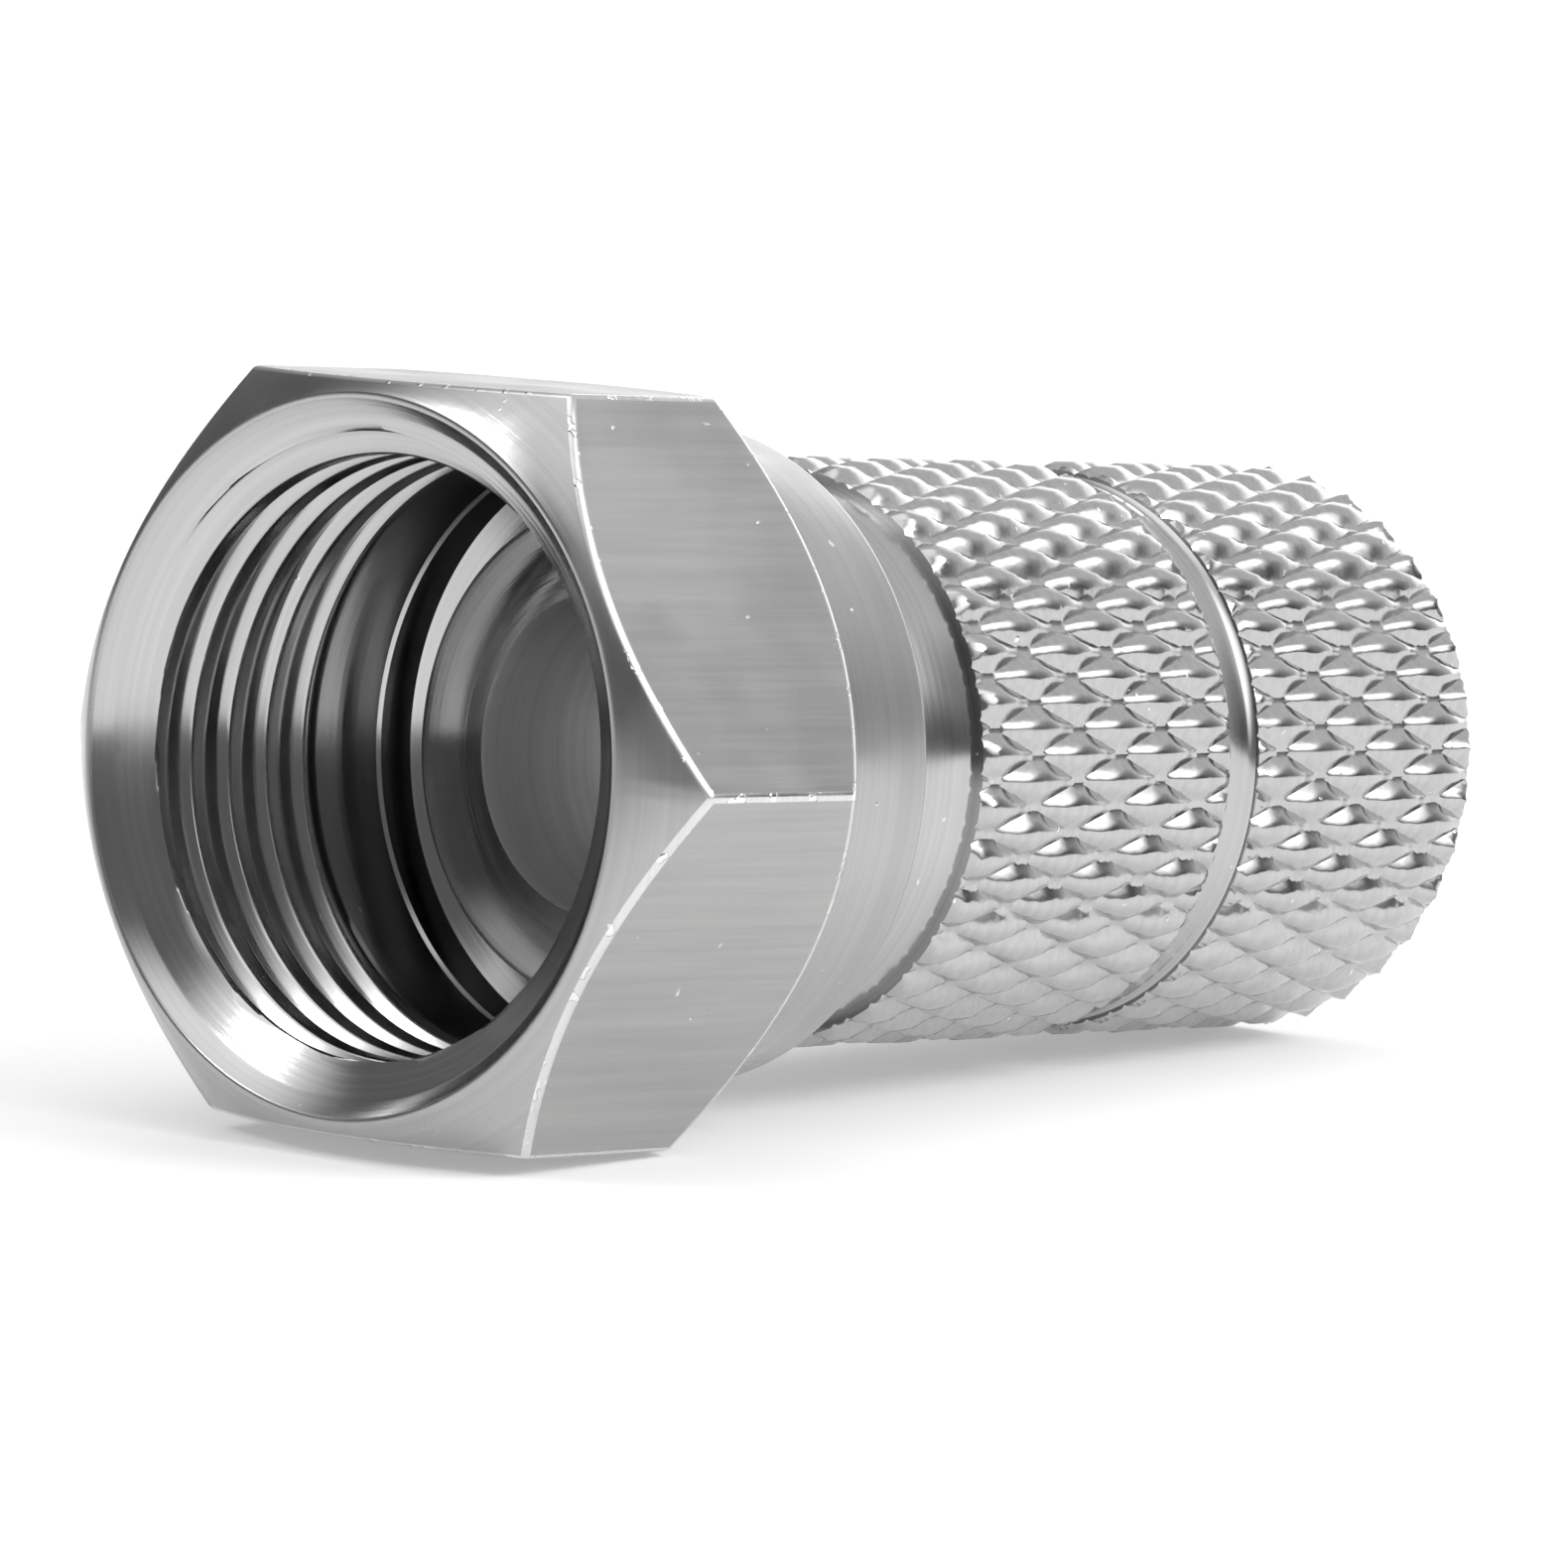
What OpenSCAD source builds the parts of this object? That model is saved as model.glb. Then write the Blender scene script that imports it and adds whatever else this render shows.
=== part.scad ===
// Twist-on F connector for 7 mm coaxial cable: a hexagonal coupling nut that
// spins on a knurled one-piece sleeve. Millimetres. The common axis is X, with
// the origin at the centre of the sleeve's flange face, where the socket seats.
// -X points out of the nut's mouth and +X out of the cable entry.

/* [Coupling nut] */
// Width across the nut's flats
nut_af = 11; // [10.5:0.1:12]
// Length of the nut along its axis
nut_len = 7.2; // [6.8:0.1:8]
// Distance from the nut's mouth to the flange face inside it
nut_reach = 5.5; // [5.2:0.05:5.6]
// Radius where the front bevel starts on the nut's front face
nut_nose_r = 5.3; // [5.28:0.01:5.4]
// Angle of the front bevel from the front face
nose_angle = 41; // [25:1:45]
// Distance from the mouth to the rear end of the flats, at their middle
flat_end = 4.9; // [4.2:0.1:5.2]
// Angle of the bevel behind the flats from the front face
heel_angle = 47; // [35:1:60]
// Radius of the round collar behind the flats
collar_r = 4.95; // [4.9:0.05:5.2]
// Radius of the fillet between the bevel and the collar
collar_fillet = 0.25; // [0.1:0.05:0.4]

/* [Nut bore] */
// Radius of the mouth at the front face
mouth_r = 5.22; // [5.1:0.01:5.25]
// Radius over the crests of the coupling thread (3/8-32, cut 0.36 mm deeper)
thread_crest_r = 4.4; // [4.38:0.01:4.4]
// Distance from the mouth to the first full crest
thread_start = 0.62; // [0.5:0.01:0.8]
// Distance from the mouth to the end of the thread
thread_end = 4; // [3.6:0.1:4.4]
// Radius of the plain bore behind the thread
relief_r = 4.56; // [4.56:0.01:4.6]
// Distance from the mouth to the small lip in the plain bore
lip_at = 5.45; // [5.3:0.05:5.6]
// Distance from the mouth to the conical inner shoulder
shoulder_at = 6.15; // [6.05:0.05:6.2]
// Angle of the inner shoulder from the front face, as a step drill leaves it
drill_angle = 31; // [20:1:31]
// Radius of the hole that the sleeve's neck turns in
swivel_r = 3.35; // [3.3:0.01:3.4]

/* [Sleeve] */
// Overall length from the nut's mouth to the cable entry
overall_len = 21.1; // [20.8:0.1:24]
// Radius of the flange that holds the nut
flange_r = 3.75; // [3.7:0.05:3.85]
// Radial clearance between the neck and the nut
swivel_gap = 0.07; // [0.03:0.01:0.1]
// End play of the nut on the neck
end_play = 0.1; // [0.08:0.01:0.2]
// Radius of the smooth shoulder between the nut and the knurl
shoulder_r = 4.22; // [4.1:0.01:4.25]
// Radius of the bore for the cable's dielectric
dielectric_r = 2.4; // [2.3:0.05:2.5]
// Radius of the cable entry, over the crests of its jacket thread
entry_r = 3.3; // [3.2:0.05:3.4]
// Depth of the cable entry
entry_depth = 12.4; // [11:0.1:12.5]
// Radius of the flared lip of the cable entry
entry_lip_r = 3.7; // [3.5:0.05:3.85]

/* [Knurl] */
// Radius over the knurl
knurl_r = 4.5; // [4.4:0.05:4.7]
// Depth of the knurl's grooves
knurl_depth = 0.15; // [0.1:0.01:0.22]
// Number of diamonds round the sleeve
knurl_count = 34; // [24:1:40]
// Length of a diamond along the sleeve
diamond_len = 1.95; // [1.6:0.05:2.4]
// Distance from the mouth to the middle of one row of diamonds
diamond_at = 11.43; // [10.5:0.01:12.5]
// Angle that the diamonds are turned by round the sleeve
knurl_turn = 0.88; // [-5:0.01:5]
// Share of each diamond that is left flat on top
flat_share = 0.4; // [0.2:0.05:0.6]
// Distance from the nut's mouth to the knurl
knurl_at = 9.15; // [9.1:0.05:9.3]
// Length of the front band
front_band_len = 5.85; // [5.5:0.05:6.5]
// Width of the plain groove between the two bands
ring_groove = 0.7; // [0.4:0.05:0.8]
// Bevel on the rear end of the knurl
knurl_bevel = 0.15; // [0.05:0.01:0.2]

/* [Hidden] */
$fn = 96;
edge = 0.1;                                  // small turned edge break
nut_corner_r = nut_af / 2 / cos(30);
nose_at_corner = (nut_corner_r + 1 - nut_nose_r) * tan(nose_angle);
heel_at_corner = flat_end - (nut_corner_r + 1 - nut_af / 2) * tan(heel_angle);
heel_at_collar = flat_end + (nut_af / 2 - collar_r) * tan(heel_angle);
fillet_at = heel_at_collar + collar_fillet * (1 - sin(heel_angle)) / cos(heel_angle);
mouth_bevel = 0.24;                          // short bevel just inside the mouth
flange_bevel = 0.15;                         // on the flange's rim
end_bevel = 0.15;                            // on the rim of the cable entry
end_land = 0.1;                              // plain rim behind the rear band
lip_step = 0.05;
seat_r = relief_r - lip_step;                // plain bore behind the lip
neck_r = swivel_r - swivel_gap;
knurl_root_r = knurl_r - knurl_depth;
half_len = diamond_len / 2;
front_band_end = knurl_at + front_band_len;
rear_band_at = front_band_end + ring_groove;
rear_band_end = overall_len - end_land;
liner_r = shoulder_r - 0.25;                 // inside of the knurled bands, sunk in the sleeve
entry_at = overall_len - entry_depth;

// Places its children so that their Z axis becomes the connector's axis, with
// distances measured from the nut's mouth.
module on_axis() translate([-nut_reach, 0, 0]) rotate([0, 90, 0]) children();

// Distance from the mouth to the nut's conical inner shoulder, at radius r.
function shoulder_z(r) = shoulder_at + (seat_r - r) * tan(drill_angle);

// Outer form of the nut: a hexagonal bar turned down at both ends.
module nut_blank() intersection() {
    rotate([0, 0, 30]) cylinder(r = nut_corner_r, h = nut_len, $fn = 6);
    rotate_extrude() polygon([
        [0, 0], [nut_nose_r, 0],
        [nut_corner_r + 1, nose_at_corner], [nut_corner_r + 1, heel_at_corner],
        for (a = [heel_angle : (90 - heel_angle) / 4 : 90])
            [collar_r + collar_fillet * (1 - sin(a)), fillet_at - collar_fillet * cos(a)],
        [collar_r, nut_len - edge], [collar_r - edge, nut_len], [0, nut_len],
    ]);
}

module coupling_nut() color("silver") on_axis() difference() {
    nut_blank();
    rotate_extrude() polygon([
        [0, -1], [mouth_r, -1], [mouth_r, 0], [mouth_r - mouth_bevel, mouth_bevel],
        [thread_crest_r, thread_start], [thread_crest_r, thread_end],
        [relief_r, thread_end + edge], [relief_r, lip_at],
        [seat_r, lip_at + lip_step], [seat_r, shoulder_at],
        [swivel_r, shoulder_z(swivel_r)], [swivel_r, nut_len + 1], [0, nut_len + 1],
    ]);
}

// Turned form of the sleeve: flange, neck, shoulder and both bores.
module sleeve_turning() rotate_extrude() polygon([
    [dielectric_r, nut_reach], [flange_r - flange_bevel, nut_reach],
    [flange_r, nut_reach + flange_bevel],
    [flange_r, shoulder_z(flange_r) - end_play], [neck_r, shoulder_z(neck_r) - end_play],
    [neck_r, nut_len + end_play], [shoulder_r - edge, nut_len + end_play],
    [shoulder_r, nut_len + end_play + edge],
    [shoulder_r, overall_len - end_bevel], [shoulder_r - end_bevel, overall_len],
    [entry_lip_r, overall_len], [entry_r, overall_len - (entry_lip_r - entry_r)],
    [entry_r, entry_at], [dielectric_r, entry_at - (entry_r - dielectric_r) * tan(drill_angle)],
]);

// Diamond knurl from one row of its lattice to another. On the lattice m counts
// half-diamonds round the sleeve and k along it. A diamond lies where m + k is
// even, and two grooves cross where it is odd.
module knurl_lattice(first, last) {
    round_count = 2 * knurl_count;
    row_count = last - first + 1;
    tops_at = row_count * round_count;
    inner_at = tops_at + row_count * knurl_count * 4;
    corners = [[-1, 0], [0, 1], [1, 0], [0, -1]];
    function spot(m, k, r) = [r * cos(m * 180 / knurl_count), r * sin(m * 180 / knurl_count),
                              diamond_at + max(first, min(last, k)) * half_len];
    function wrap(m) = (m + round_count) % round_count;
    function root(m, k) = (k - first) * round_count + wrap(m);
    function top(m, k, c) = tops_at + ((k - first) * knurl_count + floor(wrap(m) / 2)) * 4 + c;
    function inner(m, end) = inner_at + end * round_count + wrap(m);
    function diamond_m(i, k) = 2 * i + abs(k) % 2;
    // A diamond in the first or last row is cut in half, so it lacks one corner.
    function has_corner(k, c) = !(c == 1 && k == last) && !(c == 3 && k == first);
    points = concat(
        [for (k = [first : last], m = [0 : round_count - 1]) spot(m, k, knurl_root_r)],
        [for (k = [first : last], i = [0 : knurl_count - 1], c = corners)
            spot(diamond_m(i, k) + c.x * flat_share, k + c.y * flat_share, knurl_r)],
        [for (k = [first, last], m = [0 : round_count - 1]) spot(m, k, liner_r)]);
    flats = [for (k = [first : last], i = [0 : knurl_count - 1]) let (m = diamond_m(i, k))
        [for (c = [0 : 3]) if (has_corner(k, c)) top(m, k, c)]];
    slopes = [for (k = [first : last], i = [0 : knurl_count - 1], c = [0 : 3])
        let (m = diamond_m(i, k), d = (c + 1) % 4, p = corners[c], q = corners[d])
        if (has_corner(k, c) && has_corner(k, d))
            [root(m + p.x, k + p.y), root(m + q.x, k + q.y), top(m, k, d), top(m, k, c)]];
    front = [for (i = [0 : knurl_count - 1]) let (m = diamond_m(i, first))
        [root(m - 1, first), top(m, first, 0), top(m, first, 2), root(m + 1, first),
         inner(m + 1, 0), inner(m, 0), inner(m - 1, 0)]];
    back = [for (i = [0 : knurl_count - 1]) let (m = diamond_m(i, last))
        [inner(m - 1, 1), inner(m, 1), inner(m + 1, 1),
         root(m + 1, last), top(m, last, 2), top(m, last, 0), root(m - 1, last)]];
    bore = [for (m = [0 : round_count - 1]) [inner(m, 0), inner(m + 1, 0), inner(m + 1, 1), inner(m, 1)]];
    polyhedron(points, concat(flats, slopes, front, back, bore));
}

// The knurl between two distances from the mouth, with a bevel on its rear end.
module knurl_band(start, end, bevel) intersection() {
    rotate([0, 0, knurl_turn])
        knurl_lattice(floor((start - diamond_at) / half_len), ceil((end - diamond_at) / half_len));
    rotate_extrude() polygon([
        [0, start], [knurl_r + 1, start], [knurl_r + 1, end - bevel - 1], [knurl_r - bevel, end], [0, end],
    ]);
}

module knurled_sleeve() color("lightgray") on_axis() union() {
    sleeve_turning();
    knurl_band(knurl_at, front_band_end, 0);
    knurl_band(rear_band_at, rear_band_end, knurl_bevel);
}

coupling_nut();
knurled_sleeve();
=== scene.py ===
from math import atan2, cos, floor, hypot, pi, radians, sin, tan

import bmesh
import bpy
from mathutils import Euler, Matrix, Vector, noise


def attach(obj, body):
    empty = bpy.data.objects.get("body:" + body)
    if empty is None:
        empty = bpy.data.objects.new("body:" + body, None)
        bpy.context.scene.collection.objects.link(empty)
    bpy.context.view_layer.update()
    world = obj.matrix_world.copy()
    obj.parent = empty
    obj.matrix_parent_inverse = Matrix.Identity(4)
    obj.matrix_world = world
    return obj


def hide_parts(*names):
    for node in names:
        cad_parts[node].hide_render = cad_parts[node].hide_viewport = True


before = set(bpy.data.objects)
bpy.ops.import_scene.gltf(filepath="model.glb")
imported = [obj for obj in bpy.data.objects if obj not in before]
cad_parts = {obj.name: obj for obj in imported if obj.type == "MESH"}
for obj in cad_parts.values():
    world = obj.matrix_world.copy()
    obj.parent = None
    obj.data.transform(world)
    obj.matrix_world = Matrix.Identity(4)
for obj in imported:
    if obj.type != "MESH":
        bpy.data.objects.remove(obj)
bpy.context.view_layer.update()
scene = bpy.context.scene

mm = 0.001
turnSteps = 144          # columns round every turned surface, a multiple of six
seatAt = 5.5             # from the nut's mouth back to the frame's origin, in mm
weld = 1e-5              # mm within which two vertices become one
closeBy = 1e-4           # mm within which a vertex lies on a ring or a seam


# Camera and studio

camera = {
    "place": (-0.109389, -0.099131, 0.010182),
    "turn": (85.943, -3.558, -48.627),
    "lens": 228.853,
    "sensor": 36,
    "nearest": 0.005,
}

camData = bpy.data.cameras.new("camera")
camData.lens = camera["lens"]
camData.sensor_width = camera["sensor"]
camData.clip_start = camera["nearest"]
camObject = bpy.data.objects.new("camera", camData)
camObject.location = camera["place"]
camObject.rotation_euler = Euler([radians(a) for a in camera["turn"]])
scene.collection.objects.link(camObject)
scene.camera = camObject


def link(tree, source, target):
    tree.links.new(source, target)


def addNode(tree, kind, **settings):
    node = tree.nodes.new(kind)
    for name, value in settings.items():
        setattr(node, name, value)
    return node


def mathNode(tree, operation, a, b=None, clamp=False):
    node = addNode(tree, "ShaderNodeMath", operation=operation, use_clamp=clamp)
    for socket, value in zip(node.inputs, (a, b)):
        if isinstance(value, bpy.types.NodeSocket):
            link(tree, value, socket)
        elif value is not None:
            socket.default_value = value
    return node.outputs[0]


def rangeNode(tree, value, low, high, outLow, outHigh):
    node = addNode(tree, "ShaderNodeMapRange", interpolation_type="SMOOTHSTEP")
    link(tree, value, node.inputs["Value"])
    for name, number in zip(("From Min", "From Max", "To Min", "To Max"), (low, high, outLow, outHigh)):
        node.inputs[name].default_value = number
    return node.outputs["Result"]


studio = {
    "floorGrey": 0.85,       # what the floor's own surface sends back
    "floorGlow": 0.27,       # added for the camera and for reflections, so that it reads white
    "floorRadius": 2.0,
    "floorGap": 0.00002,     # keeps the floor just clear of the metal
    "roomGrey": 0.16,        # light from every side
    "darkest": 0.04,         # no side of the room sends back less
    "rearFoot": (-0.0006, -0.0055),    # where the nut's flat and the barrel's rim touch the floor
    "barrelFoot": (0.0155, -0.0045),
}
panels = {
    # soft light in the room: azimuth from +X towards +Y, elevation, full within, gone beyond, strength
    "cableSide": (-5, 40, 16, 70, 0.6),
    "overhead": (165, 72, 12, 42, 1.2),
    "right": (-82, 36, 12, 34, 1.85),
    "backdrop": (22, 5, 8, 34, 1.5),
    "left": (148, 36, 6, 22, 0.8),
    "rightCorner": (-40, 14, 4, 26, -0.36),
}


def towards(azimuth, elevation):
    a, e = radians(azimuth), radians(elevation)
    return Vector((cos(a) * cos(e), sin(a) * cos(e), sin(e)))


def makeWorld():
    world = bpy.data.worlds.new("studio")
    scene.world = world
    world.use_nodes = True
    tree = world.node_tree
    tree.nodes.clear()
    spot = addNode(tree, "ShaderNodeTexCoord")
    light = studio["roomGrey"]
    for azimuth, elevation, within, beyond, strength in panels.values():
        facing = addNode(tree, "ShaderNodeVectorMath", operation="DOT_PRODUCT")
        link(tree, spot.outputs["Generated"], facing.inputs[0])
        facing.inputs[1].default_value = towards(azimuth, elevation)
        glow = rangeNode(tree, facing.outputs["Value"], cos(radians(beyond)), cos(radians(within)),
                         0, strength)
        light = mathNode(tree, "ADD", glow, light)
    light = mathNode(tree, "MAXIMUM", light, studio["darkest"])
    seen = addNode(tree, "ShaderNodeLightPath")
    pick = addNode(tree, "ShaderNodeMix", data_type="FLOAT")
    link(tree, seen.outputs["Is Camera Ray"], pick.inputs["Factor"])
    link(tree, light, pick.inputs["A"])
    pick.inputs["B"].default_value = 1
    sky = addNode(tree, "ShaderNodeBackground")
    link(tree, pick.outputs["Result"], sky.inputs["Strength"])
    sky.inputs["Color"].default_value = (1, 1, 1, 1)
    out = addNode(tree, "ShaderNodeOutputWorld")
    link(tree, sky.outputs[0], out.inputs["Surface"])


def makeFloor():
    material = bpy.data.materials.new("paper")
    material.use_nodes = True
    tree = material.node_tree
    tree.nodes.clear()
    grey = studio["floorGrey"]
    paper = addNode(tree, "ShaderNodeBsdfDiffuse")
    paper.inputs["Color"].default_value = (grey, grey, grey, 1)
    seen = addNode(tree, "ShaderNodeLightPath")
    direct = mathNode(tree, "MAXIMUM", seen.outputs["Is Camera Ray"], seen.outputs["Is Glossy Ray"])
    direct = mathNode(tree, "MAXIMUM", direct, seen.outputs["Is Transmission Ray"])
    glow = addNode(tree, "ShaderNodeEmission")
    link(tree, mathNode(tree, "MULTIPLY", direct, studio["floorGlow"]), glow.inputs["Strength"])
    both = addNode(tree, "ShaderNodeAddShader")
    link(tree, paper.outputs[0], both.inputs[0])
    link(tree, glow.outputs[0], both.inputs[1])
    out = addNode(tree, "ShaderNodeOutputMaterial")
    link(tree, both.outputs[0], out.inputs["Surface"])
    (xRear, zRear), (xBarrel, zBarrel) = studio["rearFoot"], studio["barrelFoot"]
    slope = (zBarrel - zRear) / (xBarrel - xRear)
    bm = bmesh.new()
    bmesh.ops.create_circle(bm, cap_ends=True, segments=64, radius=studio["floorRadius"])
    tilt = Matrix.Rotation(-atan2(slope, 1), 3, "Y")
    bmesh.ops.rotate(bm, verts=bm.verts, cent=(0, 0, 0), matrix=tilt)
    bmesh.ops.translate(bm, verts=bm.verts, vec=(0, 0, zRear - slope * xRear - studio["floorGap"]))
    mesh = bpy.data.meshes.new("floor")
    bm.to_mesh(mesh)
    bm.free()
    mesh.materials.append(material)
    floorObject = bpy.data.objects.new("floor", mesh)
    scene.collection.objects.link(floorObject)


lamps = {
    # azimuth from +X towards +Y, elevation, distance, width, height, watts
    "keyRight": (-72, 35, 0.45, 0.15, 0.15, 0.55),
    "keyLeft": (149, 43, 0.45, 0.10, 0.08, 0.20),
}


def makeLamps():
    for name, (azimuth, elevation, distance, width, height, watts) in lamps.items():
        light = bpy.data.lights.new(name, "AREA")
        light.shape = "RECTANGLE"
        light.size, light.size_y, light.energy = width, height, watts
        lamp = bpy.data.objects.new(name, light)
        away = towards(azimuth, elevation)
        lamp.location = away * distance
        lamp.rotation_euler = away.to_track_quat("Z", "Y").to_euler()
        scene.collection.objects.link(lamp)


scene.view_settings.view_transform = "Standard"
makeWorld()
makeFloor()
makeLamps()
print("studio ready")


# Effects that more than one finish uses

def newGroup(name, inputs, outputs):
    tree = bpy.data.node_groups.new(name, "ShaderNodeTree")
    for label, value in inputs:
        socket = tree.interface.new_socket(name=label, in_out="INPUT",
                                           socket_type="NodeSocketFloat")
        socket.default_value = value
    for label, kind in outputs:
        tree.interface.new_socket(name=label, in_out="OUTPUT", socket_type=kind)
    return tree, addNode(tree, "NodeGroupInput"), addNode(tree, "NodeGroupOutput")


def noiseNode(tree, vector, scale, detail=2.0, rough=0.5):
    node = addNode(tree, "ShaderNodeTexNoise")
    link(tree, vector, node.inputs["Vector"])
    if isinstance(scale, bpy.types.NodeSocket):
        link(tree, scale, node.inputs["Scale"])
    else:
        node.inputs["Scale"].default_value = scale
    node.inputs["Detail"].default_value = detail
    node.inputs["Roughness"].default_value = rough
    return node.outputs["Fac"]


def makeTurnedLines():
    # rings left by the lathe tool: they follow the distance along the axis and the radius only
    tree, given, out = newGroup("turnedLines", [("Fineness", 9000.0), ("Waviness", 500.0)],
                                [("Lines", "NodeSocketFloat"), ("Patches", "NodeSocketFloat")])
    spot = addNode(tree, "ShaderNodeTexCoord")
    split = addNode(tree, "ShaderNodeSeparateXYZ")
    link(tree, spot.outputs["Object"], split.inputs[0])
    squares = [mathNode(tree, "POWER", split.outputs[side], 2.0) for side in ("Y", "Z")]
    radius = mathNode(tree, "SQRT", mathNode(tree, "ADD", *squares))
    rings = addNode(tree, "ShaderNodeCombineXYZ")
    link(tree, split.outputs["X"], rings.inputs[0])
    link(tree, radius, rings.inputs[1])
    lines = noiseNode(tree, rings.outputs[0], given.outputs["Fineness"], detail=3.0, rough=0.6)
    link(tree, lines, out.inputs["Lines"])
    patches = noiseNode(tree, spot.outputs["Object"], given.outputs["Waviness"])
    link(tree, patches, out.inputs["Patches"])
    return tree


def makeDrawnLines():
    # scratches along the bar, left by the drawing die
    tree, given, out = newGroup("drawnLines",
                                [("Fineness", 5200.0), ("Waviness", 420.0), ("Stretch", 0.03)],
                                [("Lines", "NodeSocketFloat"), ("Patches", "NodeSocketFloat")])
    spot = addNode(tree, "ShaderNodeTexCoord")
    stretch = addNode(tree, "ShaderNodeCombineXYZ")
    link(tree, given.outputs["Stretch"], stretch.inputs[0])
    stretch.inputs[1].default_value = stretch.inputs[2].default_value = 1.0
    along = addNode(tree, "ShaderNodeVectorMath", operation="MULTIPLY")
    link(tree, spot.outputs["Object"], along.inputs[0])
    link(tree, stretch.outputs[0], along.inputs[1])
    lines = noiseNode(tree, along.outputs[0], given.outputs["Fineness"], detail=3.0, rough=0.65)
    link(tree, lines, out.inputs["Lines"])
    patches = noiseNode(tree, spot.outputs["Object"], given.outputs["Waviness"])
    link(tree, patches, out.inputs["Patches"])
    return tree


def makeNicks():
    # small dents and bright grains in the plating
    tree, given, out = newGroup("nicks", [("Fineness", 4200.0), ("From", 0.62), ("Fade", 0.06)],
                                [("Mask", "NodeSocketFloat")])
    spot = addNode(tree, "ShaderNodeTexCoord")
    grain = noiseNode(tree, spot.outputs["Object"], given.outputs["Fineness"], detail=1.0)
    top = mathNode(tree, "ADD", given.outputs["From"], given.outputs["Fade"])
    node = addNode(tree, "ShaderNodeMapRange", interpolation_type="SMOOTHSTEP")
    link(tree, grain, node.inputs["Value"])
    link(tree, given.outputs["From"], node.inputs["From Min"])
    link(tree, top, node.inputs["From Max"])
    link(tree, node.outputs["Result"], out.inputs["Mask"])
    return tree


turnedLines, drawnLines, nicks = makeTurnedLines(), makeDrawnLines(), makeNicks()


def useGroup(tree, group, **values):
    node = addNode(tree, "ShaderNodeGroup", node_tree=group)
    for name, value in values.items():
        node.inputs[name].default_value = value
    return node.outputs


finishes = {
    # grey, roughness from and to, line strength, nick strength, where the nicks start
    "nutFlat": {"grey": 0.42, "rough": (0.26, 0.38), "lines": 0.30, "nick": 0.25, "nickFrom": 0.76},
    "nutTurned": {"grey": 0.43, "rough": (0.22, 0.34), "lines": 0.20, "nick": 0.30, "nickFrom": 0.76},
    "nutBore": {"grey": 0.5, "rough": (0.13, 0.22), "lines": 0.14, "nick": 0.12, "nickFrom": 0.80},
    # the rounded edges: a lighter grey and more bright nicks, partly edge wear and partly a painted
    # highlight along the edges
    "nutEdgeWearAndHighlight": {"grey": 0.68, "rough": (0.16, 0.30), "lines": 0.10, "nick": 0.6, "nickFrom": 0.60},
    "sleeveTurned": {"grey": 0.49, "rough": (0.12, 0.22), "lines": 0.16, "nick": 0.15, "nickFrom": 0.76},
    # the bores: a much lighter grey than the turned nickel, painted light that lifts the shade deep
    # inside the sleeve
    "sleeveBorePaintedLight": {"grey": 0.76, "rough": (0.36, 0.50), "lines": 0.25, "nick": 0.10, "nickFrom": 0.78},
    "sleeveKnurl": {"grey": 0.5, "rough": (0.12, 0.22), "lines": 0.0, "nick": 0.30, "nickFrom": 0.74},
}


plating = {
    "dull": (0.93, 0.93, 0.93),        # a finish's grey is multiplied by these, from line to line
    "bright": (1.07, 1.07, 1.06),
    "nickColour": (0.8, 0.8, 0.79, 1),
    "nickPolish": 0.08,                # how much smoother a nick is
    "relief": 0.00002,                 # height of the lines and nicks, in metres
    "patchSpan": (0.3, 0.7),           # the part of each pattern that is used
    "lineSpan": (0.25, 0.75),
}


def makeNickel(name, lineGroup):
    look = finishes[name]
    material = bpy.data.materials.new(name)
    material.use_nodes = True
    tree = material.node_tree
    shader = tree.nodes["Principled BSDF"]
    shader.inputs["Metallic"].default_value = 1.0
    lines = useGroup(tree, lineGroup)
    dents = useGroup(tree, nicks, From=look["nickFrom"])["Mask"]
    rough = rangeNode(tree, lines["Patches"], *plating["patchSpan"], *look["rough"])
    rough = mathNode(tree, "ADD", rough, mathNode(tree, "MULTIPLY", dents, -plating["nickPolish"]))
    link(tree, rough, shader.inputs["Roughness"])
    tint = addNode(tree, "ShaderNodeMix", data_type="RGBA")
    link(tree, rangeNode(tree, lines["Lines"], *plating["lineSpan"], 0.0, 1.0), tint.inputs["Factor"])
    for side, shade in (("A", plating["dull"]), ("B", plating["bright"])):
        tint.inputs[side].default_value = [look["grey"] * part for part in shade] + [1]
    bright = addNode(tree, "ShaderNodeMix", data_type="RGBA")
    link(tree, dents, bright.inputs["Factor"])
    link(tree, tint.outputs["Result"], bright.inputs["A"])
    bright.inputs["B"].default_value = plating["nickColour"]
    link(tree, bright.outputs["Result"], shader.inputs["Base Color"])
    height = mathNode(tree, "ADD", mathNode(tree, "MULTIPLY", lines["Lines"], look["lines"]),
                      mathNode(tree, "MULTIPLY", dents, look["nick"]))
    bump = addNode(tree, "ShaderNodeBump")
    bump.inputs["Strength"].default_value = 1.0
    bump.inputs["Distance"].default_value = plating["relief"]
    link(tree, height, bump.inputs["Height"])
    link(tree, bump.outputs["Normal"], shader.inputs["Normal"])
    return material


# the flats keep the drawn surface of the bar, and everything else is turned
nickel = {name: makeNickel(name, drawnLines if name == "nutFlat" else turnedLines) for name in finishes}
print("finishes ready")


# Shaping helpers, in millimetres: x runs from the nut's mouth to the cable entry

def spinProfile(bm, profile):
    verts = [bm.verts.new((x, -radius, 0)) for x, radius in profile]
    edges = [bm.edges.new(pair) for pair in zip(verts, verts[1:])]
    bmesh.ops.spin(bm, geom=verts + edges, cent=(0, 0, 0), axis=(1, 0, 0), dvec=(0, 0, 0),
                   angle=2 * pi, steps=turnSteps, use_merge=True)


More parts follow.
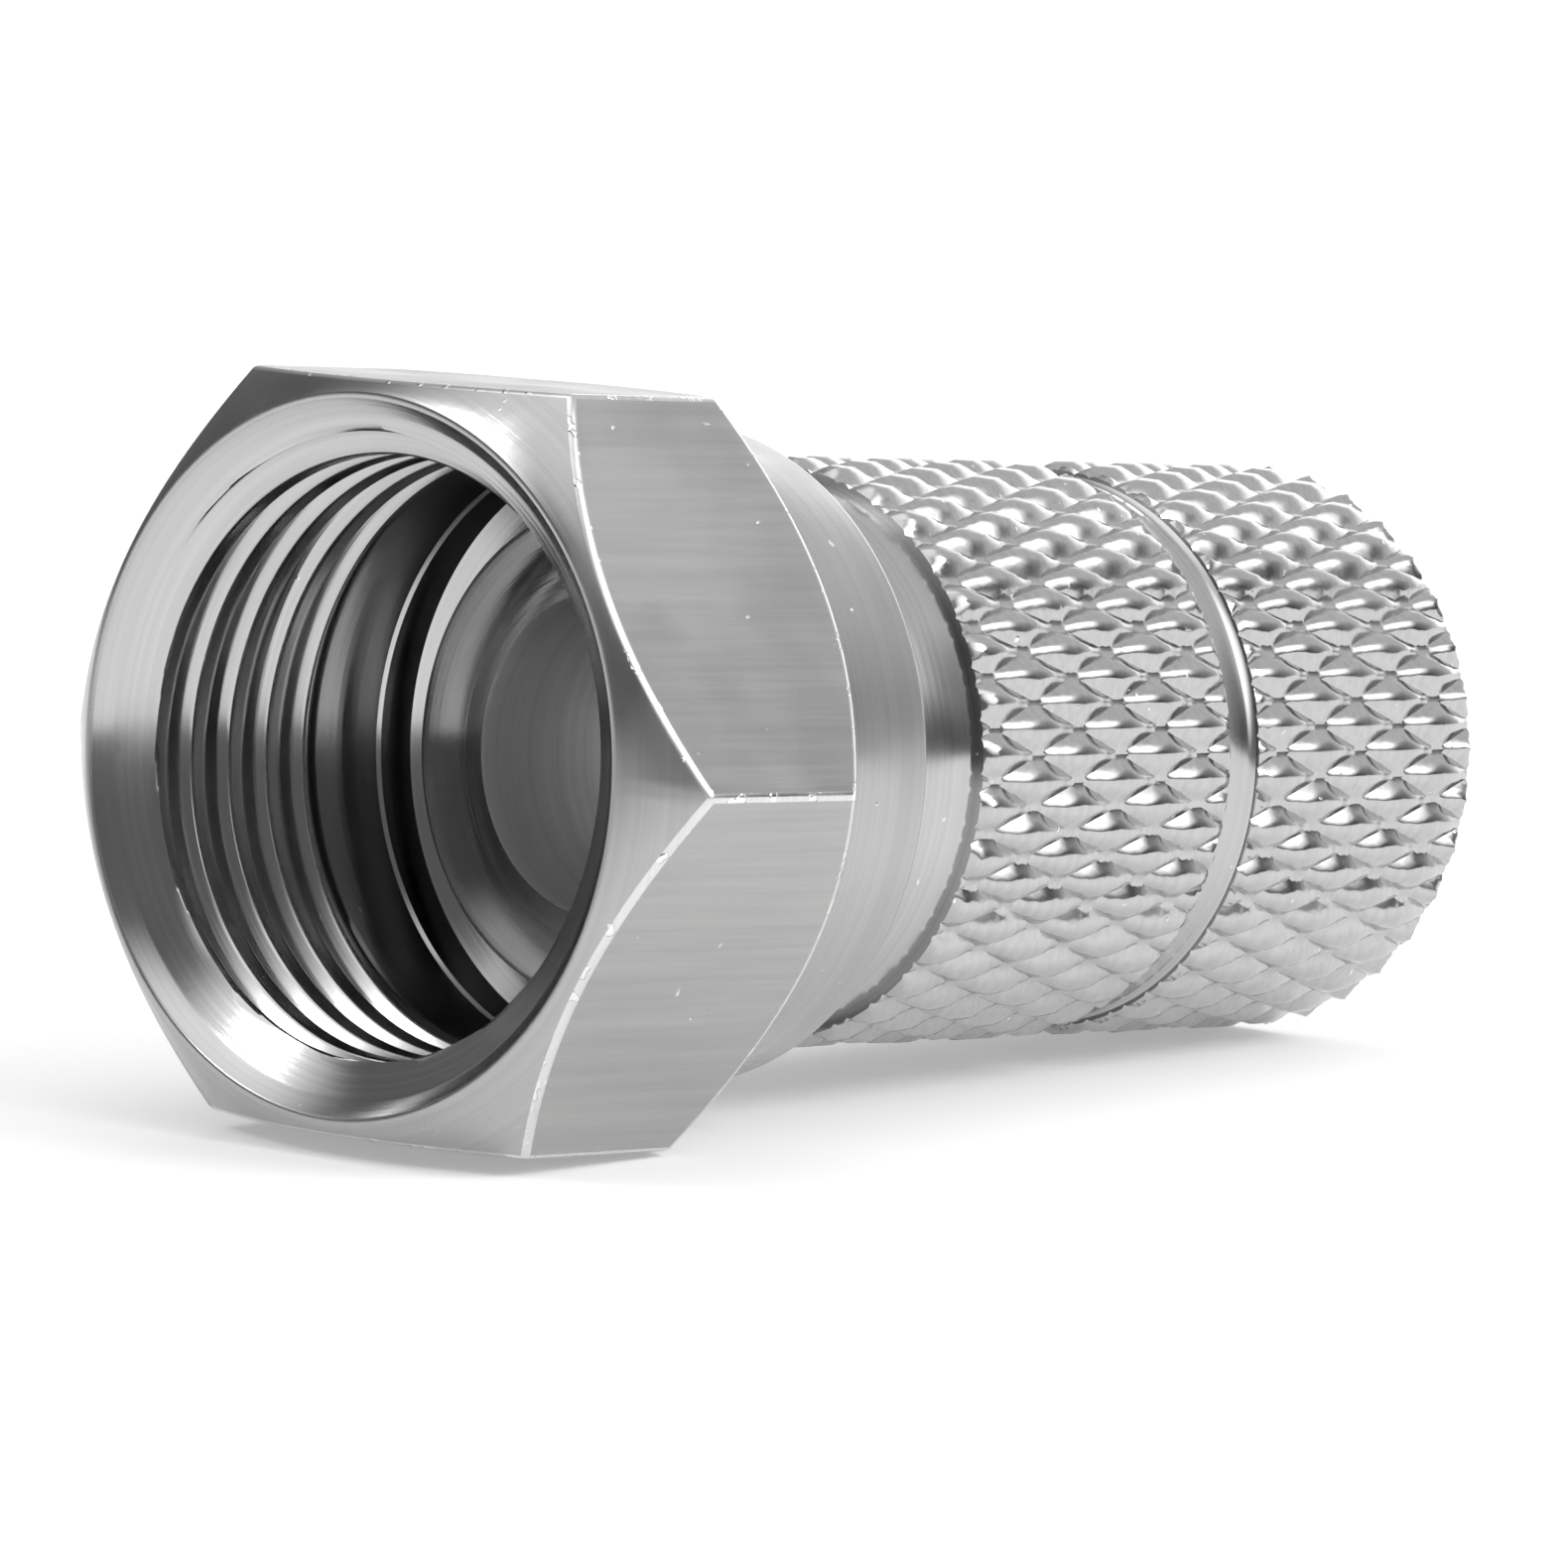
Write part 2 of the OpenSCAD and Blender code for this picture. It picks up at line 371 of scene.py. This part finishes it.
def wave(phase, stops):
    # how deep the thread is cut at this share of its pitch, from its crest at 0 to its root at 1
    phase = abs(phase - floor(phase + 0.5))
    for (a, low), (b, high) in zip(stops, stops[1:]):
        if phase <= b:
            return low + (high - low) * (phase - a) / (b - a)
    return stops[-1][1]


def faded(thread, x):
    # from 0 where the thread's fade starts to 1 where it ends
    return min(max((x - thread["fadeFrom"]) / (thread["fadeTo"] - thread["fadeFrom"]), 0), 1)


def spinThread(bm, thread, surface):
    # one turn of a screwed strip, welded to itself a pitch further on
    pitch = thread["pitch"]
    shares = [a for a, b in thread["form"]]
    shares = shares[:-1] + [1 - a for a in reversed(shares)][:-1]
    turns = range(floor((thread["from"] - thread["crest"]) / pitch) - 2,
                  floor((thread["to"] - thread["crest"]) / pitch) + 3)
    places = [thread["crest"] + (turn + share) * pitch for turn in turns for share in shares]
    strip = bmesh.new()
    verts = [strip.verts.new((x, -1, 0)) for x in places]
    edges = [strip.edges.new(pair) for pair in zip(verts, verts[1:])]
    bmesh.ops.spin(strip, geom=verts + edges, cent=(0, 0, 0), axis=(1, 0, 0),
                   dvec=(pitch / turnSteps, 0, 0), angle=2 * pi, steps=turnSteps, use_merge=False)
    bmesh.ops.remove_doubles(strip, verts=strip.verts, dist=closeBy)
    for v in strip.verts:
        turned = atan2(-v.co.z, -v.co.y) / (2 * pi)
        depth = wave((v.co.x - thread["crest"]) / pitch - turned, thread["form"])
        radius = surface(v.co.x, depth)
        side = hypot(v.co.y, v.co.z)
        v.co.y *= radius / side
        v.co.z *= radius / side
    for place, outward in ((thread["from"], -1), (thread["to"], 1)):
        bmesh.ops.bisect_plane(strip, geom=strip.verts[:] + strip.edges[:] + strip.faces[:],
                               plane_co=(place, 0, 0), plane_no=(outward, 0, 0), clear_outer=True)
    mesh = bpy.data.meshes.new("strip")
    strip.to_mesh(mesh)
    strip.free()
    bm.from_mesh(mesh)
    bpy.data.meshes.remove(mesh)


def openEdges(bm, x, low=0.0, high=99.0):
    return [e for e in bm.edges if e.is_boundary
            and all(abs(v.co.x - x) < closeBy and low < hypot(v.co.y, v.co.z) < high for v in e.verts)]


def joinRings(bm, first, second):
    # two rings in one plane are drawn apart while they are joined, so that neither is taken backwards
    aside = 0.3
    near, far = openEdges(bm, *first), openEdges(bm, *second)
    moved = list({v for e in near for v in e.verts})
    bmesh.ops.translate(bm, verts=moved, vec=(aside, 0, 0))
    bmesh.ops.bridge_loops(bm, edges=near + far)
    bmesh.ops.translate(bm, verts=moved, vec=(-aside, 0, 0))


def arcPoints(centre, radius, start, end, steps):
    angles = [radians(start + (end - start) * i / steps) for i in range(steps + 1)]
    return [(centre[0] + radius * cos(a), centre[1] + radius * sin(a)) for a in angles]


def finishPiece(name, bm, body, node, materials, smoothAngle, flatFaces):
    bmesh.ops.remove_doubles(bm, verts=bm.verts, dist=weld)
    bmesh.ops.recalc_face_normals(bm, faces=bm.faces)
    loose = sum(1 for e in bm.edges if not e.is_manifold)
    bmesh.ops.translate(bm, verts=bm.verts, vec=(-seatAt, 0, 0))
    bmesh.ops.scale(bm, verts=bm.verts, vec=(mm, mm, mm))
    mesh = bpy.data.meshes.new(name)
    bm.to_mesh(mesh)
    volume = round(bm.calc_volume() / mm ** 3, 1)
    print(name, len(bm.faces), "faces,", loose, "open edges,", volume, "mm3")
    bm.free()
    for material in materials:
        mesh.materials.append(nickel[material])
    mesh.shade_smooth()
    mesh.set_sharp_from_angle(angle=radians(smoothAngle))
    piece = bpy.data.objects.new(name, mesh)
    scene.collection.objects.link(piece)
    if flatFaces:
        weigh = piece.modifiers.new("evenShading", "WEIGHTED_NORMAL")
        weigh.keep_sharp = True
    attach(piece, body)
    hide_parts(node)


# Coupling nut

nut = {
    "acrossFlats": 11.0,
    "length": 7.2,
    "noseRadius": 5.3,        # where the front bevel starts
    "noseAngle": 41,
    "flatEnd": 4.9,           # rear end of a flat, at its middle
    "heelAngle": 47,
    "collarRadius": 4.95,
    "collarFillet": 0.25,
    "mouthRadius": 5.22,
    "mouthBevel": 0.24,
    "reliefRadius": 4.56,
    "lipAt": 5.45,
    "seatRadius": 4.51,
    "shoulderAt": 6.15,
    "drillAngle": 31,
    "swivelRadius": 3.35,
    "edgeRound": 0.08,
    "turnedEdge": 0.1,
    "filletAngles": (47, 58, 69, 80, 90),
    "cornerAngle": 25,        # an edge between flats or bevels is sharper than this
    "smoothAngle": 35,
}
nutThread = {
    "pitch": 0.794,           # 32 turns to the inch
    "crest": 1.08,            # where a crest passes the side towards -Y
    "crestRadius": 4.4,
    "depth": 0.36,
    "from": 0.30, "to": 4.40,
    "leadEnd": 0.57,          # where the cone in the mouth reaches the crests
    "fadeFrom": 3.75, "fadeTo": 4.15,
    # share of the pitch from a crest, and share of the depth that is cut there
    "form": [(0, 0), (0.07, 0.0), (0.14, 0.0), (0.18, 0.015), (0.215, 0.06), (0.245, 0.14),
             (0.345, 0.53), (0.45, 0.92), (0.475, 0.985), (0.5, 1.0)],
}


def hexRadius(y, z):
    around = (atan2(z, -y) % (pi / 3)) - pi / 6
    return nut["acrossFlats"] / 2 / cos(around)


def leadCone(x):
    innerEdge = nut["mouthRadius"] - nut["mouthBevel"]
    fall = (innerEdge - nutThread["crestRadius"]) / (nutThread["leadEnd"] - nut["mouthBevel"])
    return innerEdge - (x - nut["mouthBevel"]) * fall


def nutBore(x, depth):
    share = faded(nutThread, x)
    share = share * share * (3 - 2 * share)
    plain = nutThread["crestRadius"] + share * (nut["reliefRadius"] - nutThread["crestRadius"])
    return max(plain + (1 - share) * nutThread["depth"] * depth, leadCone(x))


def makeNut():
    bm = bmesh.new()
    half, nose, heel = nut["acrossFlats"] / 2, radians(nut["noseAngle"]), radians(nut["heelAngle"])
    collar, fillet, edge = nut["collarRadius"], nut["collarFillet"], nut["turnedEdge"]
    heelEnd = nut["flatEnd"] + (half - collar) * tan(heel)
    filletAt = heelEnd + fillet * (1 - sin(heel)) / cos(heel)
    seat, swivel, end = nut["seatRadius"], nut["swivelRadius"], nut["length"]
    shoulderEnd = nut["shoulderAt"] + (seat - swivel) * tan(radians(nut["drillAngle"]))
    innerEdge = nut["mouthRadius"] - nut["mouthBevel"]
    noseMark, heelMark = 20.0, 30.0      # stand in for the two scalloped rings until they are placed
    profile = [
        (nut["mouthBevel"] + 0.02, innerEdge - 0.03), (nut["mouthBevel"], innerEdge),
        (0.03, nut["mouthRadius"] - 0.03), (0.008, nut["mouthRadius"] - 0.008),
        (0, nut["mouthRadius"] + 0.012),
        (0, nut["noseRadius"] - 0.015), (0.008, nut["noseRadius"] + 0.01),
        (0.1, noseMark), (3.0, heelMark),
    ]
    profile += [(filletAt - fillet * cos(radians(a)), collar + fillet * (1 - sin(radians(a))))
                for a in nut["filletAngles"]]
    profile += arcPoints((end - edge, collar - edge), edge, 90, 0, 3)
    profile += [(end, swivel + 0.08), (end - 0.02, swivel + 0.02), (end - 0.08, swivel),
                (shoulderEnd, swivel), (nut["shoulderAt"], seat), (nut["lipAt"] + 0.05, seat),
                (nut["lipAt"], nut["reliefRadius"]), (nutThread["to"] + 0.03, nut["reliefRadius"])]
    spinProfile(bm, profile)
    bm.verts.ensure_lookup_table()
    for v in bm.verts:
        radius = hypot(v.co.y, v.co.z)
        if radius > noseMark - 1:
            wanted = hexRadius(v.co.y, v.co.z)
            front = radius < heelMark - 1
            v.co.x = ((wanted - nut["noseRadius"]) * tan(nose) if front
                      else nut["flatEnd"] - (wanted - half) * tan(heel))
            v.co.y *= wanted / radius
            v.co.z *= wanted / radius
    spinThread(bm, nutThread, nutBore)
    joinRings(bm, (nut["mouthBevel"] + 0.02,), (nutThread["from"],))
    joinRings(bm, (nutThread["to"],), (nutThread["to"] + 0.03,))
    bmesh.ops.remove_doubles(bm, verts=bm.verts, dist=weld)
    bmesh.ops.recalc_face_normals(bm, faces=bm.faces)
    for face in bm.faces:
        middle = face.calc_center_median()
        radius = hypot(middle.y, middle.z)
        outward = face.normal.y * middle.y + face.normal.z * middle.z
        level = abs(face.normal.x) < 0.01
        if level and radius > nut["noseRadius"] and nut["turnedEdge"] < middle.x < 5:
            face.material_index = 0
        elif outward < 0 and middle.x > 0.02:
            face.material_index = 2
        else:
            face.material_index = 1
    corners = [e for e in bm.edges if min(hypot(v.co.y, v.co.z) for v in e.verts) > half - 0.001
               and e.calc_face_angle(0) > radians(nut["cornerAngle"])]
    rounded = bmesh.ops.bevel(bm, geom=corners, offset=nut["edgeRound"], offset_type="OFFSET",
                              segments=2, profile=0.5, affect="EDGES", clamp_overlap=True, material=-1)
    # the rounded edges take the edge finish, whose lighter grey is partly wear and partly a painted
    # highlight
    for face in rounded["faces"]:
        face.material_index = 3
    finishPiece("nutBody", bm, "nut", "coupling_nut",
                ["nutFlat", "nutTurned", "nutBore", "nutEdgeWearAndHighlight"], nut["smoothAngle"], True)


makeNut()
print("nut ready")


# Knurled sleeve

sleeve = {
    "length": 21.1,
    "flangeRadius": 3.75,
    "flangeEnd": 6.507,
    "neckRadius": 3.28,
    "neckAt": 6.789,
    "shoulderFrom": 7.3,
    "shoulderRadius": 4.22,
    "dielectricRadius": 2.4,
    "entryRadius": 3.3,
    "entryLip": 3.7,
    "entryFloor": 8.7,
    "drillAngle": 31,
    "smoothAngle": 40,
}
knurl = {
    "count": 34,              # diamonds round the sleeve
    "halfLength": 0.975,
    "radius": 4.5,
    "depth": 0.19,
    "middleAt": 11.43,        # a diamond's middle, and its angle up from the side towards -Y
    "middleAngle": 15.0,
    "bands": [(9.15, 15.0), (15.7, 21.0)],
    "endBevel": 0.15,
    "flank": 0.34,            # share of a diamond's width that each side takes to rise
    "roundOver": 0.35,        # how much steeper a flank is than its mean at the foot
    "steps": 8,               # faces across a diamond
    "cells": 44,              # diamonds along each side of the grid, enough to go round on its corner
    "spare": 3,               # rows kept beyond the band until it is cut out
    "seam": 0.37,             # where the band closes, in half-diamonds, clear of the grid's own lines
    "crowding": 0.05,         # how far the faces gather towards the grooves
    "unevenness": 0.18,       # the most that wear takes off, and how often it changes
    "wearAlong": 1.3,
    "wearAround": 3,
}
jacketThread = {
    "pitch": 1.25,
    "crest": 9.0,
    "crestRadius": 3.3,
    "depth": 0.3,
    "from": 9.0, "to": 20.65,
    "fadeFrom": 9.1, "fadeTo": 9.6,
    "form": [(0, 0), (0.06, 0.0), (0.1, 0.08), (0.2, 0.4), (0.3, 0.72), (0.36, 0.92), (0.42, 1.0),
             (0.5, 1.0)],
}


def entryBore(x, depth):
    share = faded(jacketThread, x)
    lip = sleeve["entryLip"] - (sleeve["length"] - x)
    return max(jacketThread["crestRadius"] + share * jacketThread["depth"] * depth, lip)


def rib(across):
    # height between two grooves, which lie at whole numbers: a steep flank that rounds over to the top
    share = min(abs(across - floor(across + 0.5)) / knurl["flank"], 1)
    return share * (1 + knurl["roundOver"] * (1 - share))


def addKnurl(bm, start, end):
    # diamonds are the unit squares of a fine grid, which then stands on its corner
    band = bmesh.new()
    segments = knurl["cells"] * knurl["steps"]
    bmesh.ops.create_grid(band, x_segments=segments, y_segments=segments, size=knurl["cells"] / 2)
    middle = (start + end) / 2
    reach = (end - start) / knurl["halfLength"] / 2 + knurl["spare"]
    around = knurl["count"] + knurl["spare"]
    outside = [v for v in band.verts
               if abs(v.co.x - v.co.y) > reach or abs(v.co.x + v.co.y) > around]
    bmesh.ops.delete(band, geom=outside, context="VERTS")
    for v in band.verts:
        x = v.co.x - knurl["crowding"] * sin(2 * pi * v.co.x)
        y = v.co.y - knurl["crowding"] * sin(2 * pi * v.co.y)
        v.co = (x, y, rib(x) * rib(y))
    onCorner = Matrix.Rotation(radians(45), 3, "Z")
    bmesh.ops.rotate(band, verts=band.verts, cent=(0, 0, 0), matrix=onCorner)
    bmesh.ops.scale(band, verts=band.verts, vec=(2 ** 0.5, 2 ** 0.5, 1))
    # one unit is now half a diamond both ways, with groove crossings on even sums
    # the lattice shifts until a diamond's middle lies where it is wanted, then the band is cut out
    offset = (knurl["middleAt"] - middle) / knurl["halfLength"]
    oddRow = floor(offset) % 2
    halfWidth = pi * (knurl["radius"] - knurl["depth"]) / knurl["count"]
    bmesh.ops.translate(band, verts=band.verts, vec=(offset - floor(offset), 0, 0))
    bmesh.ops.scale(band, verts=band.verts, vec=(knurl["halfLength"], halfWidth, 1))
    bmesh.ops.translate(band, verts=band.verts, vec=(middle, 0, 0))
    seam = halfWidth * knurl["seam"]
    halfTurn = halfWidth * knurl["count"]
    bevel = knurl["endBevel"]
    cuts = [((start, 0, 0), (-1, 0, 0), True), ((end, 0, 0), (1, 0, 0), True),
            ((0, seam - halfTurn, 0), (0, -1, 0), True), ((0, seam + halfTurn, 0), (0, 1, 0), True),
            ((start + bevel, 0, 0), (-1, 0, 0), False), ((end - bevel, 0, 0), (1, 0, 0), False)]
    for place, normal, clear in cuts:
        bmesh.ops.bisect_plane(band, geom=band.verts[:] + band.edges[:] + band.faces[:],
                               plane_co=place, plane_no=normal, clear_outer=clear)
    # a crossing is at the grid's middle, so a diamond's middle is one unit round from it
    turn = radians(knurl["middleAngle"]) + (0 if oddRow else pi / knurl["count"])
    for v in band.verts:
        angle = v.co.y / halfWidth * pi / knurl["count"] + turn
        spot = (v.co.x * knurl["wearAlong"], knurl["wearAround"] * cos(angle),
                knurl["wearAround"] * sin(angle))
        worn = 1 - knurl["unevenness"] * (0.5 + 0.5 * noise.noise(spot))
        radius = knurl["radius"] - knurl["depth"] * (1 - worn * v.co.z)
        radius = min(radius, knurl["radius"] - bevel + min(v.co.x - start, end - v.co.x))
        v.co.y, v.co.z = -radius * cos(angle), radius * sin(angle)
    bmesh.ops.remove_doubles(band, verts=band.verts, dist=closeBy)
    for face in band.faces:
        face.material_index = 1
    mesh = bpy.data.meshes.new("band")
    band.to_mesh(mesh)
    band.free()
    bm.from_mesh(mesh)
    bpy.data.meshes.remove(mesh)


def makeSleeve():
    bm = bmesh.new()
    flange, neck, shoulder = sleeve["flangeRadius"], sleeve["neckRadius"], sleeve["shoulderRadius"]
    bore, entry, end = sleeve["dielectricRadius"], sleeve["entryRadius"], sleeve["length"]
    front = sleeve["shoulderFrom"]
    bands = knurl["bands"]
    drill = tan(radians(sleeve["drillAngle"]))
    spinProfile(bm, [
        (jacketThread["from"] - 0.03, entry), (sleeve["entryFloor"], entry),
        (sleeve["entryFloor"] - (entry - bore) * drill, bore),
        (seatAt + 0.04, bore), (seatAt, bore + 0.03), (seatAt, flange - 0.15),
        (seatAt + 0.045, flange - 0.045), (seatAt + 0.15, flange), (sleeve["flangeEnd"], flange),
        (sleeve["neckAt"], neck), (front, neck), (front, shoulder - 0.1),
        (front + 0.03, shoulder - 0.03), (front + 0.1, shoulder), (bands[0][0], shoulder),
    ])
    rise = knurl["radius"] - knurl["depth"] - 0.02 - shoulder
    grooveFrom, grooveTo = bands[0][1], bands[1][0]
    spinProfile(bm, [(grooveFrom, shoulder + rise), (grooveFrom + 0.06, shoulder + 0.3 * rise),
                     (grooveFrom + 0.14, shoulder), (grooveTo - 0.14, shoulder),
                     (grooveTo - 0.06, shoulder + 0.3 * rise), (grooveTo, shoulder + rise)])
    spinProfile(bm, [
        (bands[1][1], shoulder - 0.05), (end - 0.045, shoulder - 0.095), (end, shoulder - 0.2),
        (end, sleeve["entryLip"] + 0.03), (end - 0.02, sleeve["entryLip"] - 0.01),
        (jacketThread["to"] + 0.03, sleeve["entryLip"] - (end - jacketThread["to"] - 0.03)),
    ])
    for start, stop in bands:
        addKnurl(bm, start, stop)
    # a radius between a band's edge and the plain ring that meets it
    split = knurl["radius"] - knurl["depth"] - 0.01
    for place in bands[0] + bands[1]:
        joinRings(bm, (place, 0, split), (place, split))
    spinThread(bm, jacketThread, entryBore)
    joinRings(bm, (jacketThread["from"] - 0.03,), (jacketThread["from"],))
    joinRings(bm, (jacketThread["to"],), (jacketThread["to"] + 0.03,))
    # the faces of the bores take the bore finish, whose lighter grey is painted light in the shaded
    # bores
    for face in bm.faces:
        middle = face.calc_center_median()
        wall = bore + 0.02 if middle.x < front else entry + jacketThread["depth"] + 0.02
        if hypot(middle.y, middle.z) < wall:
            face.material_index = 2
    finishPiece("sleeveBody", bm, "sleeve", "knurled_sleeve",
                ["sleeveTurned", "sleeveKnurl", "sleeveBorePaintedLight"], sleeve["smoothAngle"], False)


makeSleeve()
print("sleeve ready")
